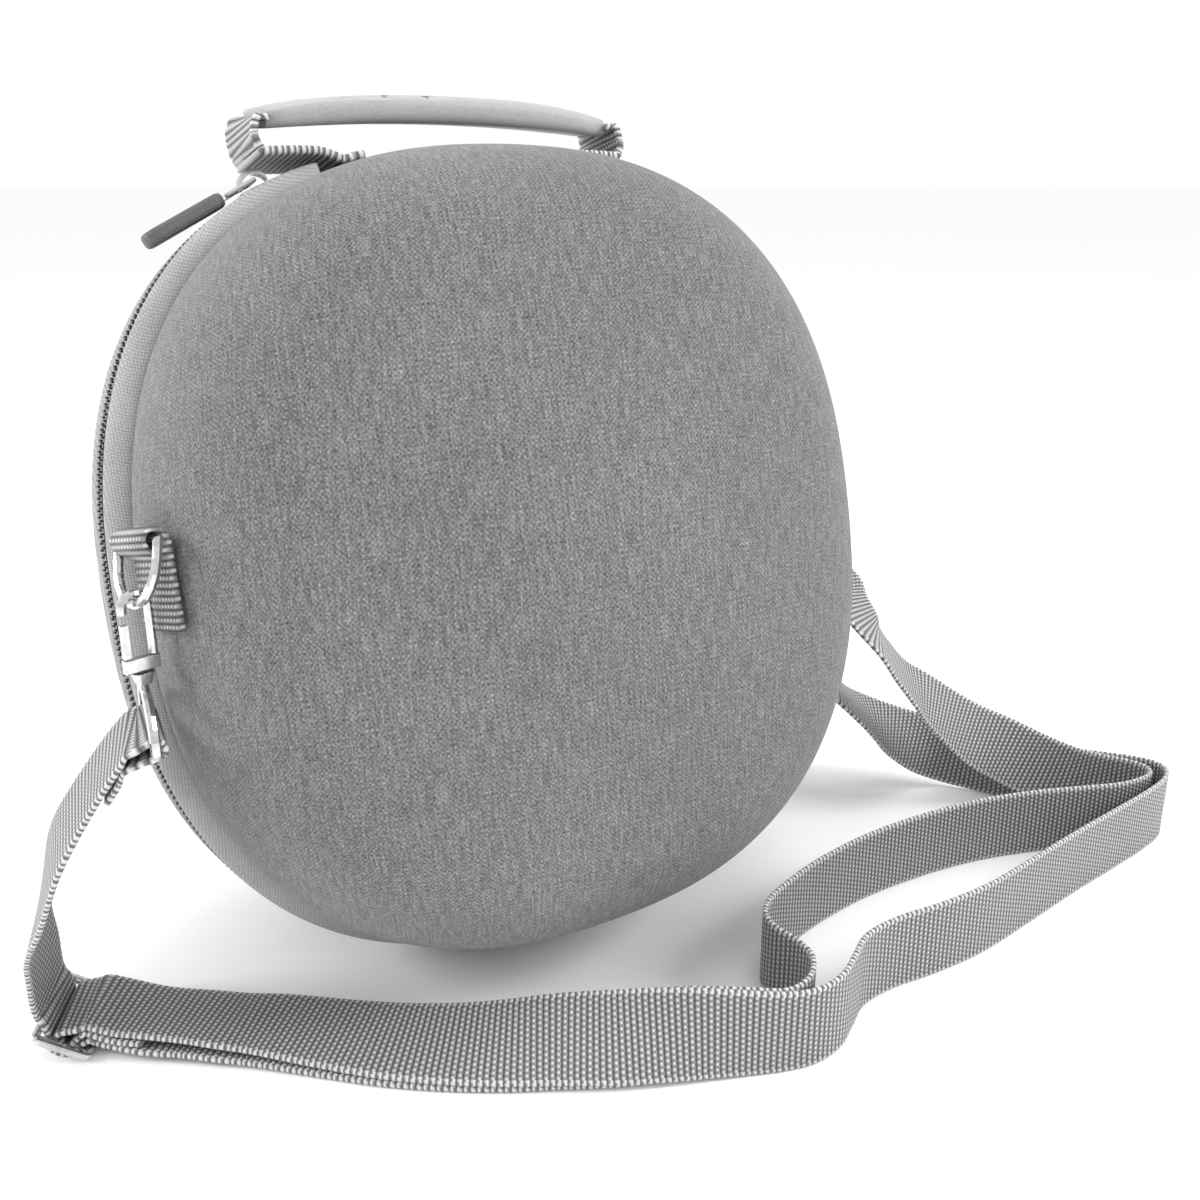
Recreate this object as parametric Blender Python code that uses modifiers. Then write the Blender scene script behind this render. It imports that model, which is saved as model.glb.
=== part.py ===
"""Hard-shell headset case with a top handle, a coil zip and a shoulder strap.

The case is modelled in its own frame (X width, Y depth with the front towards -Y, Z height,
origin at its middle) and then leans back until it rests on its rear half, as it does on a table.
The strap lies on the same table.
"""
import math
import bpy
import bmesh
from mathutils import Matrix, Vector

MM = 0.001

# Case shells
HALF_WIDTH = 113.0 * MM        # outline of the shells where they meet the welts
HALF_HEIGHT = 119.0 * MM
SQUARENESS = 2.4               # superellipse exponent of the outline
DOME_DEPTH = 54.0 * MM         # depth of the rounded side of a shell
DOME_FULLNESS = 2.66           # superellipse exponent of the rounded edge
EDGE_ROUND = 42.0 * MM         # how far the rounding reaches in from the outline
SIDE_DRAFT = 0.02
FRONT_CROWN = 6.0 * MM         # swelling of the front face
WALL = 4.0 * MM
RIM_POINTS = 48
DOME_RINGS = 8
FACE_RINGS = 3

# Closure band between the shells
WELT_WIDTH = 13.2 * MM
WELT_PROUD = 4.5 * MM
WELT_SEAT = 1.0 * MM           # depth of the groove beside the shell
ZIP_HALF_WIDTH = 3.2 * MM
ZIP_PROUD = 2.0 * MM
HINGE_HALF_LENGTH = 42.0 * MM
HINGE_PROUD = 1.2 * MM
HINGE_PUCKER = 2.2 * MM        # fold of the hinge fabric beside each handle tail
PUCKER_X = 20.0 * MM
FABRIC_HINGE = 1.6 * MM
GAP = 0.3 * MM                 # clearance between touching pieces
BAND_POINTS = 45

# Zip slider and pull
SLIDER_X = -57.0 * MM          # where the slider stops on the closed zip
SLIDER_LENGTH = 11.0 * MM
SLIDER_WIDTH = 8.0 * MM
SLIDER_HEIGHT = 2.6 * MM
CROWN_WIDTH = 3.0 * MM
CROWN_HEIGHT = 3.4 * MM
CROWN_WIRE = 0.8 * MM
LINK_LENGTH = 9.0 * MM
LINK_WIRE = 0.7 * MM
LINK_WIDTH = 6.5 * MM
PULL_LENGTH = 26.5 * MM
PULL_WIDTH = 8.5 * MM
PULL_THICKNESS = 4.2 * MM
PULL_DROP = 27.0               # degrees below the case's horizontal

# Handle
GRIP_LENGTH = 112.0 * MM
GRIP_WIDTH = 22.0 * MM
GRIP_THICKNESS = 8.0 * MM
GRIP_RISE = 2.5 * MM           # arch of the grip
GRIP_LIFT = 11.0 * MM          # underside of the grip's ends above the shells' outline
GRIP_TILT = math.radians(15)   # the grip hangs level while the case leans back
HANDLE_WEB_WIDTH = 25.0 * MM
HANDLE_WEB = 2.2 * MM
HANDLE_REACH = 61.5 * MM       # outermost point of a loop from the middle

# Side tabs, rings and hooks
TAB_DEPTH = 25.0 * MM          # tab's middle in front of the groove
TAB_HEIGHT = 19.0 * MM         # ring's bar above the case's middle
TAB_WIDTH = 18.0 * MM
TAB_TAIL = 23.0 * MM
TAB_WEB = 1.0 * MM
TAB_LOOP = 2.3 * MM            # inner radius of the tab's loop
TAB_STAND_OFF = 4.4 * MM       # ring's bar off the shell
RING_WIRE = 1.3 * MM
RING_DROP = 17.0 * MM
HOOK_WIRE = 1.2 * MM
HOOK_EYE = 2.2 * MM            # inner radius of the hook's eye
HOOK_LENGTH = 21.0 * MM
HOOK_BARREL = 3.6 * MM
SWIVEL_RADIUS = 3.0 * MM
SWIVEL_COLLAR = 3.0 * MM
SWIVEL_DROP = 12.0 * MM
STRAP_RING_WIRE = 1.3 * MM
RING_SWING = 17.0              # degrees a ring is pulled outwards by its hook
SWIVEL_TURN = 22.0             # degrees a strap ring turns towards the strap's pull

# Shoulder strap
STRAP_WIDTH = 25.0 * MM
STRAP_THICKNESS = 1.5 * MM
GLIDE_BAR = 1.2 * MM           # half the width and thickness of the adjuster's bars
GLIDE_PITCH = 7.6 * MM         # middle bar to outer bar
GLIDE_OVERHANG = 1.0 * MM      # inner clearance beside the webbing
GLIDE_BARS_TURN = 64.0         # degrees from the case's width to the adjuster's bars
GLIDE_TILT = 27.0              # degrees the adjuster slopes down towards the long run
GLIDE_SPOT = (-142.5, -8.3)    # millimetres on the table

COLOURS = {
    "heather": (0.30, 0.30, 0.30), "welt": (0.38, 0.38, 0.38), "zip_black": (0.02, 0.02, 0.02),
    "dark_fabric": (0.06, 0.06, 0.06), "chrome": (0.75, 0.75, 0.76), "rubber": (0.11, 0.11, 0.11),
    "grip": (0.55, 0.55, 0.55), "webbing": (0.42, 0.42, 0.42),
}
METALS = ("chrome",)


def clear_scene():
    for obj in list(bpy.data.objects):
        bpy.data.objects.remove(obj, do_unlink=True)


def collection(name):
    made = bpy.data.collections.new(name)
    bpy.context.scene.collection.children.link(made)
    return made


def material(name):
    made = bpy.data.materials.get(name)
    if made is None:
        made = bpy.data.materials.new(name)
        made.use_nodes = True
        shader = made.node_tree.nodes["Principled BSDF"]
        shader.inputs["Base Color"].default_value = (*COLOURS[name], 1)
        shader.inputs["Metallic"].default_value = 1.0 if name in METALS else 0.0
        shader.inputs["Roughness"].default_value = 0.2 if name in METALS else 0.8
        made.diffuse_color = (*COLOURS[name], 1)
    return made


def place(name, data, look, parent=None, matrix=None):
    """A named object with its material, in the case's collection."""
    obj = bpy.data.objects.new(name, data)
    PARTS.objects.link(obj)
    data.materials.append(material(look))
    obj.parent = parent
    if matrix is not None:
        obj.matrix_basis = matrix
    return obj


def empty(name, parent=None, matrix=None):
    obj = bpy.data.objects.new(name, None)
    PARTS.objects.link(obj)
    obj.parent = parent
    if matrix is not None:
        obj.matrix_basis = matrix
    return obj


def smooth(mesh, angle=50):
    mesh.shade_smooth()
    mesh.set_sharp_from_angle(angle=math.radians(angle))


def frame_matrix(origin, x_axis, z_axis):
    """A frame at origin with its X along x_axis and its Z as near z_axis as it can be."""
    x = Vector(x_axis).normalized()
    y = Vector(z_axis).cross(x).normalized()
    z = x.cross(y)
    turn = Matrix((x, y, z)).transposed().to_4x4()
    return Matrix.Translation(Vector(origin)) @ turn


def loft(name, sections, closed_path=False, caps=True):
    """A mesh through sections of equal point count, each a closed loop of points."""
    bm = bmesh.new()
    rings = [[bm.verts.new(p) for p in section] for section in sections]
    count = len(rings[0])
    pairs = list(zip(rings, rings[1:]))
    if closed_path:
        pairs.append((rings[-1], rings[0]))
    for near, far in pairs:
        for i in range(count):
            j = (i + 1) % count
            bm.faces.new((near[i], near[j], far[j], far[i]))
    if caps and not closed_path:
        bm.faces.new(rings[0])
        bm.faces.new(rings[-1])
    bmesh.ops.recalc_face_normals(bm, faces=bm.faces)
    mesh = bpy.data.meshes.new(name)
    bm.to_mesh(mesh)
    bm.free()
    return mesh


def ring_edges(bm, verts):
    """Edges of a closed loop of vertices, made where they are missing."""
    edges = []
    for a, b in zip(verts, verts[1:] + verts[:1]):
        edges.append(bm.edges.get((a, b)) or bm.edges.new((a, b)))
    return edges


def tube(name, points, radius, look, parent, closed=False, detail=2):
    """A round wire along points."""
    curve = bpy.data.curves.new(name, "CURVE")
    curve.dimensions = "3D"
    curve.bevel_depth = radius
    curve.bevel_resolution = detail
    curve.use_fill_caps = True
    line = curve.splines.new("POLY")
    line.points.add(len(points) - 1)
    for spot, p in zip(line.points, points):
        spot.co = (*p, 1)
    line.use_cyclic_u = closed
    return place(name, curve, look, parent)


def plate(name, outlines, half_thickness, look, parent, matrix=None, bevel=0.0):
    """A flat outline, with holes, of the given half thickness."""
    curve = bpy.data.curves.new(name, "CURVE")
    curve.dimensions = "2D"
    curve.fill_mode = "BOTH"
    curve.extrude = half_thickness - bevel
    curve.bevel_depth = bevel
    curve.bevel_resolution = 1
    curve.offset = -bevel
    for points in outlines:
        line = curve.splines.new("POLY")
        line.points.add(len(points) - 1)
        for spot, p in zip(line.points, points):
            spot.co = (p[0], p[1], 0, 1)
        line.use_cyclic_u = True
    return place(name, curve, look, parent, matrix)


def arc(centre, radius, start, end, steps):
    """Points on an arc in the plane, angles in degrees."""
    for i in range(steps + 1):
        a = math.radians(start + (end - start) * i / steps)
        yield (centre[0] + radius * math.cos(a), centre[1] + radius * math.sin(a))


def smooth_path(rows, steps):
    """Catmull-Rom samples through rows of numbers, with steps between neighbours."""
    rows = [Vector(r) for r in rows]
    rows = [rows[0] * 2 - rows[1]] + rows + [rows[-1] * 2 - rows[-2]]
    path = []
    for a, b, c, d in zip(rows, rows[1:], rows[2:], rows[3:]):
        for i in range(steps):
            t = i / steps
            path.append(0.5 * (2 * b + (c - a) * t + (2 * a - 5 * b + 4 * c - d) * t * t
                               + (3 * b - a - 3 * c + d) * t * t * t))
    path.append(rows[-2])
    return path


# Case outline and dome

def rim_point(half_width, half_height, angle):
    """Point (x, z) of the superellipse outline at a parameter angle."""
    c, s = math.cos(angle), math.sin(angle)
    power = 2.0 / SQUARENESS
    return (half_width * math.copysign(abs(c) ** power, c),
            half_height * math.copysign(abs(s) ** power, s))


def rim_angle(x):
    """Parameter angle of the upper outline point at x."""
    return math.acos(math.copysign(abs(x / HALF_WIDTH) ** (SQUARENESS / 2.0), x))


def rim_frame(angle):
    """Outline point and outward direction, as 3-D vectors in the case frame."""
    x, z = rim_point(HALF_WIDTH, HALF_HEIGHT, angle)
    x0, z0 = rim_point(HALF_WIDTH, HALF_HEIGHT, angle - 0.004)
    x1, z1 = rim_point(HALF_WIDTH, HALF_HEIGHT, angle + 0.004)
    along = Vector((x1 - x0, 0, z1 - z0)).normalized()
    return Vector((x, 0, z)), Vector((along.z, 0, -along.x))


def dome_profile(share):
    """Inset from the outline and depth from the groove, at a share of the rounded side."""
    a = share * math.pi / 2
    power = 2.0 / DOME_FULLNESS
    depth = DOME_DEPTH * math.sin(a) ** power
    return EDGE_ROUND * (1 - math.cos(a) ** power) + SIDE_DRAFT * depth, depth


def inset_at(depth):
    """Inset of the shell's surface at a depth from the groove."""
    a = math.asin(min(1.0, (depth / DOME_DEPTH) ** (DOME_FULLNESS / 2.0)))
    return dome_profile(a / (math.pi / 2))[0]


BAND_HALF = ZIP_HALF_WIDTH + WELT_WIDTH


def dome_stations(crown):
    """(half width, half height, depth) of each ring, from the rim to the middle of the face."""
    stations = []
    for i in range(DOME_RINGS + 1):
        inset, depth = dome_profile(i / DOME_RINGS)
        stations.append((HALF_WIDTH - inset, HALF_HEIGHT - inset, depth))
    wide, high, depth = stations[-1]
    for i in range(1, FACE_RINGS if crown else 1):
        k = 1 - i / FACE_RINGS
        stations.append((wide * k, high * k, depth + crown * (1 - k * k)))
    return stations


def shell(name, side, crown, parent):
    """One domed half: side is -1 for the front and 1 for the rear."""
    angles = [2 * math.pi * i / RIM_POINTS for i in range(RIM_POINTS)]
    rim = BAND_HALF + GAP / 2
    bm = bmesh.new()
    rings = []
    for wide, high, depth in dome_stations(crown):
        spots = [rim_point(wide, high, angle) for angle in angles]
        rings.append([bm.verts.new((x, side * (rim + depth), z)) for x, z in spots])
    for near, far in zip(rings, rings[1:]):
        bmesh.ops.bridge_loops(bm, edges=ring_edges(bm, near) + ring_edges(bm, far))
    if crown:
        middle = bm.verts.new((0, side * (rim + DOME_DEPTH + crown), 0))
        for i, vert in enumerate(rings[-1]):
            bm.faces.new((vert, rings[-1][(i + 1) % RIM_POINTS], middle))
    else:
        bm.faces.new(rings[-1])
    bmesh.ops.recalc_face_normals(bm, faces=bm.faces)
    if sum(face.normal.y * side for face in bm.faces) < 0:
        bmesh.ops.reverse_faces(bm, faces=bm.faces)
    mesh = bpy.data.meshes.new(name)
    bm.to_mesh(mesh)
    bm.free()
    smooth(mesh)
    obj = place(name, mesh, "heather", parent)
    wall = obj.modifiers.new("wall", "SOLIDIFY")
    wall.thickness = WALL
    wall.offset = -1
    return obj


def band(name, section, start, end, look, parent):
    """A strip round the outline: section is (y, outward) points, swept between two angles."""
    sections = []
    for i in range(BAND_POINTS):
        angle = start + (end - start) * i / (BAND_POINTS - 1)
        spot, out = rim_frame(angle)
        sections.append([spot + out * r + Vector((0, y, 0)) for y, r in section])
    mesh = loft(name, sections)
    smooth(mesh)
    return place(name, mesh, look, parent)


def welt_section(side):
    """Padded welt: flat inside, bulging outside, lower at the groove."""
    inner = [(side * (BAND_HALF - GAP / 2), -WALL), (side * (ZIP_HALF_WIDTH + GAP / 2), -WALL)]
    outer = []
    for i in range(7):
        share = i / 6
        y = ZIP_HALF_WIDTH + GAP / 2 + (WELT_WIDTH - GAP) * share
        base = ZIP_PROUD * (1 - share) - WELT_SEAT * share
        outer.append((side * y, base + WELT_PROUD * math.sin(math.pi * share) ** 0.75 * (1 - base / WELT_PROUD / 2)))
    return inner + outer


# Resting pose

def lowest(points, lean):
    return min(-y * math.sin(lean) + z * math.cos(lean) for y, z in points)


def resting_lean():
    """Angle at which the closure band and the rear shell touch the table together."""
    rear = [dome_profile(i / DOME_RINGS) for i in range(DOME_RINGS + 1)]
    rear = [(BAND_HALF + GAP / 2 + depth, -(HALF_HEIGHT - inset)) for inset, depth in rear]
    welt = [(y, -(HALF_HEIGHT + r)) for y, r in welt_section(1)]
    low, high = 0.0, math.radians(60)
    for _ in range(50):
        mid = (low + high) / 2
        if lowest(welt, mid) < lowest(rear, mid):
            low = mid
        else:
            high = mid
    return mid, -lowest(welt, mid)


clear_scene()
PARTS = collection("headset_case")
LEAN, CENTRE_HEIGHT = resting_lean()
TABLE = empty("table")
CASE = empty("case", TABLE, Matrix.Translation((0, 0, CENTRE_HEIGHT)) @ Matrix.Rotation(-LEAN, 4, "X"))

shell("front_shell", -1, FRONT_CROWN, CASE)
shell("rear_shell", 1, 0.0, CASE)

# Welts and zip run round everything but the fabric hinge at the top.
HINGE_ANGLE = rim_angle(HINGE_HALF_LENGTH)
ROUND = (HINGE_ANGLE, HINGE_ANGLE - 2 * math.pi + (math.pi - 2 * HINGE_ANGLE))
band("front_welt", welt_section(-1), *ROUND, "welt", CASE)
band("rear_welt", welt_section(1), *ROUND, "welt", CASE)
zip_half = ZIP_HALF_WIDTH - GAP / 2
band("zip_chain", [(-zip_half, -FABRIC_HINGE), (zip_half, -FABRIC_HINGE), (zip_half, ZIP_PROUD * 0.4),
                   (zip_half * 0.6, ZIP_PROUD), (-zip_half * 0.6, ZIP_PROUD), (-zip_half, ZIP_PROUD * 0.4)],
     *ROUND, "zip_black", CASE)


def hinge_panel():
    """Fabric hinge over the top between the welts' ends."""
    sections = []
    edge = rim_angle(HINGE_HALF_LENGTH - GAP)
    steps = 22
    half = BAND_HALF - GAP / 2
    for i in range(steps + 1):
        spot, out = rim_frame(edge + (math.pi - 2 * edge) * i / steps)
        fold = HINGE_PUCKER * math.exp(-((abs(spot.x) - PUCKER_X) / (PUCKER_X * 0.2)) ** 2)
        low, high = HINGE_PROUD - FABRIC_HINGE, HINGE_PROUD + fold
        sections.append([spot + out * r + Vector((0, y, 0))
                         for y, r in ((-half, low), (half, low), (half, high), (-half, high))])
    mesh = loft("hinge_panel", sections)
    smooth(mesh)
    return place("hinge_panel", mesh, "dark_fabric", CASE)


hinge_panel()


# Zip slider, with its link and rubber pull

def zip_slider():
    """Slider body with a shield outline, its crown and the hanging pull."""
    spot, out = rim_frame(rim_angle(SLIDER_X))
    seat = spot + out * (ZIP_PROUD + GAP)
    along = out.cross(Vector((0, 1, 0)))
    holder = empty("slider_seat", CASE, frame_matrix(seat, along, out))
    half, wide = SLIDER_LENGTH / 2, SLIDER_WIDTH / 2
    shield = [(-half, -wide * 0.62), (-half * 0.3, -wide * 0.7), (half * 0.35, -wide), (half, -wide),
              (half, wide), (half * 0.35, wide), (-half * 0.3, wide * 0.7), (-half, wide * 0.62)]
    body = plate("zip_slider", [shield], SLIDER_HEIGHT / 2, "chrome", holder,
                 Matrix.Translation((0, 0, SLIDER_HEIGHT / 2)), bevel=0.4 * MM)
    crown_base = SLIDER_HEIGHT + GAP
    reach = half * 0.8
    arch = [(-reach + 2 * reach * i / 10, crown_base + CROWN_WIRE + CROWN_HEIGHT * math.sin(math.pi * i / 10) ** 0.6)
            for i in range(11)]
    sections = []
    for x, z in arch:
        sections.append([(x, y, z + r) for y, r in ((-CROWN_WIDTH / 2, -CROWN_WIRE), (CROWN_WIDTH / 2, -CROWN_WIRE),
                                                    (CROWN_WIDTH / 2, CROWN_WIRE), (-CROWN_WIDTH / 2, CROWN_WIRE))])
    mesh = loft("slider_crown", sections)
    smooth(mesh)
    place("slider_crown", mesh, "chrome", holder)
    return spot + out * (ZIP_PROUD + GAP + crown_base + LINK_WIRE + CROWN_WIRE), out


PULL_PIVOT, PULL_OUT = zip_slider()


def zip_pull():
    """Wire link round the crown, with a rubber pull moulded on its end. Its parent is the joint."""
    turn = Matrix.Rotation(math.radians(180 - PULL_DROP), 4, "Y")
    swing = empty("pull_swing", CASE, Matrix.Translation(PULL_PIVOT) @ turn)
    half = LINK_WIDTH / 2
    nose = LINK_LENGTH
    points = [(0, -half, 0), (0, half, 0), (nose, half * 0.75, 0), (nose, -half * 0.75, 0)]
    tube("pull_link", points, LINK_WIRE, "chrome", swing, closed=True)
    start = LINK_LENGTH + LINK_WIRE + GAP
    rounding = PULL_WIDTH / 2
    outline = list(arc((start + PULL_LENGTH - rounding, 0), rounding, -90, 90, 8))
    outline += list(arc((start + rounding * 0.8, 0), rounding * 0.8, 90, 270, 8))
    plate("pull_tab", [outline], PULL_THICKNESS / 2, "rubber", swing, bevel=1.2 * MM)


zip_pull()


# Handle

def grip_section(x):
    """Rounded section of the grip at x, thinner towards its ends."""
    share = abs(x) / (GRIP_LENGTH / 2)
    under = HALF_HEIGHT + GRIP_LIFT + GRIP_RISE * (1 - share * share)
    thick = GRIP_THICKNESS * (1 - 0.35 * share ** 4)
    half = GRIP_WIDTH / 2 * (1 - 0.06 * share ** 4)
    edge = thick * 0.36
    section = []
    for cy, cz, start in ((half - edge, thick - edge, 0), (-half + edge, thick - edge, 90),
                          (-half + edge, edge, 180), (half - edge, edge, 270)):
        for y, z in arc((cy, cz), edge, start, start + 90, 3):
            z -= thick / 2
            section.append(Vector((x, y * math.cos(GRIP_TILT) - z * math.sin(GRIP_TILT),
                                   under + thick / 2 + y * math.sin(GRIP_TILT) + z * math.cos(GRIP_TILT))))
    return section


def handle():
    steps = 14
    xs = [GRIP_LENGTH * (i / steps - 0.5) for i in range(steps + 1)]
    mesh = loft("handle_grip", [grip_section(x) for x in xs])
    smooth(mesh)
    place("handle_grip", mesh, "grip", CASE)
    for name, side in (("handle_webbing_left", -1), ("handle_webbing_right", 1)):
        sections = sections_along(handle_path(side))
        place(name, ribbon_mesh(name, sections, HANDLE_WEB_WIDTH, HANDLE_WEB), "webbing", CASE)


def over_hinge(x):
    """Height of webbing lying on the hinge fabric at x."""
    angle = rim_angle(x)
    return rim_point(HALF_WIDTH, HALF_HEIGHT, angle)[1] + HINGE_PROUD + 2.5 * GAP + HANDLE_WEB / 2


def handle_path(side):
    """Loop from the grip's end, out and under, to its tail sewn on the hinge's end."""
    leave = HALF_HEIGHT + GRIP_LIFT + GRIP_THICKNESS * 0.3
    start = GRIP_LENGTH / 2 + 5 * GAP
    land = HINGE_HALF_LENGTH - 2.8 * HANDLE_WEB
    low = over_hinge(land) + HANDLE_WEB
    middle, half = (leave + low) / 2, (leave - low) / 2
    bend = HANDLE_REACH - start - HANDLE_WEB / 2
    turn = [math.radians(a) for a in (90, 60, 30, 0, -30, -60, -90)]
    rows = [(start + bend * math.cos(a), middle + half * math.sin(a)) for a in turn]
    rows += [
            (land + 3 * HANDLE_WEB, low), (land, over_hinge(land)),
            (land - 1.5 * HANDLE_WEB, over_hinge(land - 1.5 * HANDLE_WEB)),
            (land - 3 * HANDLE_WEB, over_hinge(land - 3 * HANDLE_WEB))]
    path = smooth_path([(side * x, 0, z) for x, z in rows], 2)
    tilted = [GRIP_TILT * max(0.0, 1 - 1.6 * i / (len(path) - 1)) for i in range(len(path))]
    return [(p, Vector((0, math.cos(a), math.sin(a)))) for p, a in zip(path, tilted)]


def sections_along(path):
    """(middle, unit across, unit along) at each (middle, across) of a path, square to each other."""
    points = [p for p, across in path]
    made = []
    for i, (p, across) in enumerate(path):
        along = (points[min(i + 1, len(points) - 1)] - points[max(i - 1, 0)]).normalized()
        made.append((p, (across - along * across.dot(along)).normalized(), along))
    return made


def ribbon_mesh(name, sections, width, thickness):
    """Flat webbing through (middle, across, along) sections, its two sides split along the same lines."""
    bm = bmesh.new()
    rings = []
    for p, across, along in sections:
        side, out = across * width / 2, along.cross(across) * thickness / 2
        rings.append([bm.verts.new(v) for v in (p + side + out, p - side + out, p - side - out, p + side - out)])
    for (a, b, c, d), (e, f, g, h) in zip(rings, rings[1:]):
        for corners in ((a, b, f), (a, f, e), (c, d, g), (d, h, g), (b, c, g), (b, g, f), (d, a, e), (d, e, h)):
            bm.faces.new(corners)
    bm.faces.new(rings[0])
    bm.faces.new(rings[-1])
    bmesh.ops.recalc_face_normals(bm, faces=bm.faces)
    mesh = bpy.data.meshes.new(name)
    bm.to_mesh(mesh)
    bm.free()
    smooth(mesh, 40)
    return mesh


handle()


# Side tabs with their rings and hooks

def tab_frame(side, half):
    """Frame on a shell at a tab: X outwards, Y along the webbing's width, Z up, in the case frame."""
    inset = inset_at(TAB_DEPTH)
    step = inset_at(TAB_DEPTH + MM) - inset_at(TAB_DEPTH - MM)
    x = HALF_WIDTH - inset
    out = Vector((side * 2 * MM, half * step, 0)).normalized()
    spot = Vector((side * x, half * (BAND_HALF + GAP / 2 + TAB_DEPTH), TAB_HEIGHT))
    return frame_matrix(spot, out, (0, 0, 1))


def tab_outline():
    """Side view of a tab: tail lying on the shell, and the loop round the ring's bar."""
    lift = GAP
    thick = 2 * TAB_WEB
    outer = TAB_LOOP + TAB_WEB
    cx = TAB_STAND_OFF
    top = list(arc((cx, 0), outer, -60, 150, 12))
    outline = [(lift, -TAB_TAIL), (lift + thick, -TAB_TAIL), (lift + thick, -outer * 1.5)] + top
    outline += [(lift, outer * 0.2)]
    return [outline, list(arc((cx, 0), TAB_LOOP, 0, 350, 12))]


def side_hardware(name, side, half, turn):
    """Tab, ring and hook: side is -1 for left, half is -1 for the front shell."""
    seat = tab_frame(side, half)
    across = Matrix(((1, 0, 0, 0), (0, 0, -1, 0), (0, 1, 0, 0), (0, 0, 0, 1)))
    plate("tab_" + name, tab_outline(), TAB_WIDTH / 2, "webbing", CASE, seat @ across)
    # The ring hangs in the tab's loop, square to its bar, as near plumb as that allows.
    tilt = Matrix.Rotation(-LEAN, 4, "X")
    bar = Matrix.Translation((0, 0, CENTRE_HEIGHT)) @ tilt @ seat @ Matrix.Translation((TAB_STAND_OFF, 0, 0))
    width_way = (tilt @ seat).to_3x3() @ Vector((0, 1, 0))
    hang = frame_matrix(bar.to_translation(), width_way, (0, 0, 1))
    swing = RING_SWING if (hang.to_3x3() @ Vector((0, 1, 0))).x * side < 0 else -RING_SWING
    hang = hang @ Matrix.Rotation(math.radians(-swing), 4, "X")
    ring_seat = empty("ring_seat_" + name, TABLE, hang)
    half = TAB_WIDTH / 2 + RING_WIRE + GAP
    drop = RING_DROP - RING_WIRE
    points = [(-half, 0, 0), (0, 0, 0), (half, 0, 0)]
    for i in range(11):
        a = math.pi * i / 10
        points.append((half * math.cos(a), 0, -drop * (0.3 + 0.7 * math.sin(a))))
    tube("d_ring_" + name, points, RING_WIRE, "chrome", ring_seat, closed=True)
    bottom = ring_seat.matrix_basis @ Vector((0, 0, -drop))
    level = Vector((width_way.x, width_way.y, 0)).normalized()
    hook_seat = empty("hook_seat_" + name, TABLE, frame_matrix(bottom, level, (0, 0, 1)))
    bar_middle, bar_way = hook(name, hook_seat, turn)
    return bar_middle, (hook_seat.matrix_basis.to_3x3() @ bar_way).normalized()


def hook(name, seat, turn):
    """Snap hook on a ring: bent eye and bar, barrel with its gate, and a swivelling ring below.

    The hook lies in its seat's YZ plane, so that the ring's wire crosses it.
    """
    flat = Matrix(((0, 0, 1, 0), (1, 0, 0, 0), (0, 1, 0, 0), (0, 0, 0, 1)))
    top = RING_WIRE + GAP - HOOK_EYE
    reach = HOOK_EYE + HOOK_WIRE
    foot = top - HOOK_LENGTH + 2 * HOOK_EYE + HOOK_BARREL
    neck = foot - HOOK_BARREL
    bar = [(0, reach, foot + GAP)] + [(0, y, z) for y, z in arc((0, top), reach, 0, 180, 12)]
    bar += [(0, -reach, top - HOOK_WIRE)]
    tube("hook_bar_" + name, bar, HOOK_WIRE, "chrome", seat)
    sole = [(-reach - HOOK_WIRE, neck), (reach + HOOK_WIRE, neck), (reach + HOOK_WIRE, foot),
            (-reach + HOOK_WIRE + 2 * GAP, foot), (-reach - HOOK_WIRE, foot)]
    plate("hook_body_" + name, [sole], HOOK_WIRE, "chrome", seat, flat, bevel=0.3 * MM)
    gate_seat = empty("gate_pivot_" + name, seat, Matrix.Translation((0, -reach, foot + GAP + HOOK_WIRE)))
    length = top - 2 * HOOK_WIRE - GAP - foot
    half = HOOK_WIRE * 0.8
    gate = [(-half, -HOOK_WIRE)] + [(half, -HOOK_WIRE), (half, length - 2 * HOOK_WIRE - GAP), (-half, length - 2 * HOOK_WIRE - GAP)]
    plate("gate_" + name, [gate], HOOK_WIRE * 0.8, "chrome", gate_seat, flat, bevel=0.2 * MM)
    collar = neck - GAP
    ball = bmesh.new()
    bmesh.ops.create_cone(ball, cap_ends=True, segments=14, radius1=SWIVEL_RADIUS * 0.7, radius2=SWIVEL_RADIUS,
                          depth=SWIVEL_COLLAR)
    mesh = bpy.data.meshes.new("swivel_" + name)
    ball.to_mesh(mesh)
    ball.free()
    smooth(mesh, 40)
    place("swivel_" + name, mesh, "chrome", seat, Matrix.Translation((0, 0, collar - SWIVEL_COLLAR / 2)))
    shoulder = collar - SWIVEL_COLLAR - GAP - STRAP_RING_WIRE
    half = STRAP_WIDTH / 2 + STRAP_RING_WIRE + GAP
    drop = SWIVEL_DROP
    turned = Matrix.Rotation(math.radians(turn), 3, "Z")
    ring = [(-half, 0, shoulder - drop), (half, 0, shoulder - drop)]
    for i in range(11):
        a = math.pi * i / 10
        ring.append((half * math.cos(a), 0, shoulder - drop + drop * (0.25 + 0.75 * math.sin(a))))
    ring = [turned @ Vector(p) for p in ring]
    tube("strap_ring_" + name, ring, STRAP_RING_WIRE, "chrome", seat, closed=True)
    return seat.matrix_basis @ Vector((0, 0, shoulder - drop)), turned @ Vector((1, 0, 0))


STRAP_BARS = {}
for label, way, shell_half, turn in (("left", -1, -1, -SWIVEL_TURN), ("right", 1, 1, -SWIVEL_TURN)):
    STRAP_BARS[label] = side_hardware(label, way, shell_half, turn)


# Strap adjuster, resting on the table on its outer bar

GLIDE_HALF = STRAP_WIDTH / 2 + GLIDE_OVERHANG + 2 * GLIDE_BAR


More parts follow.
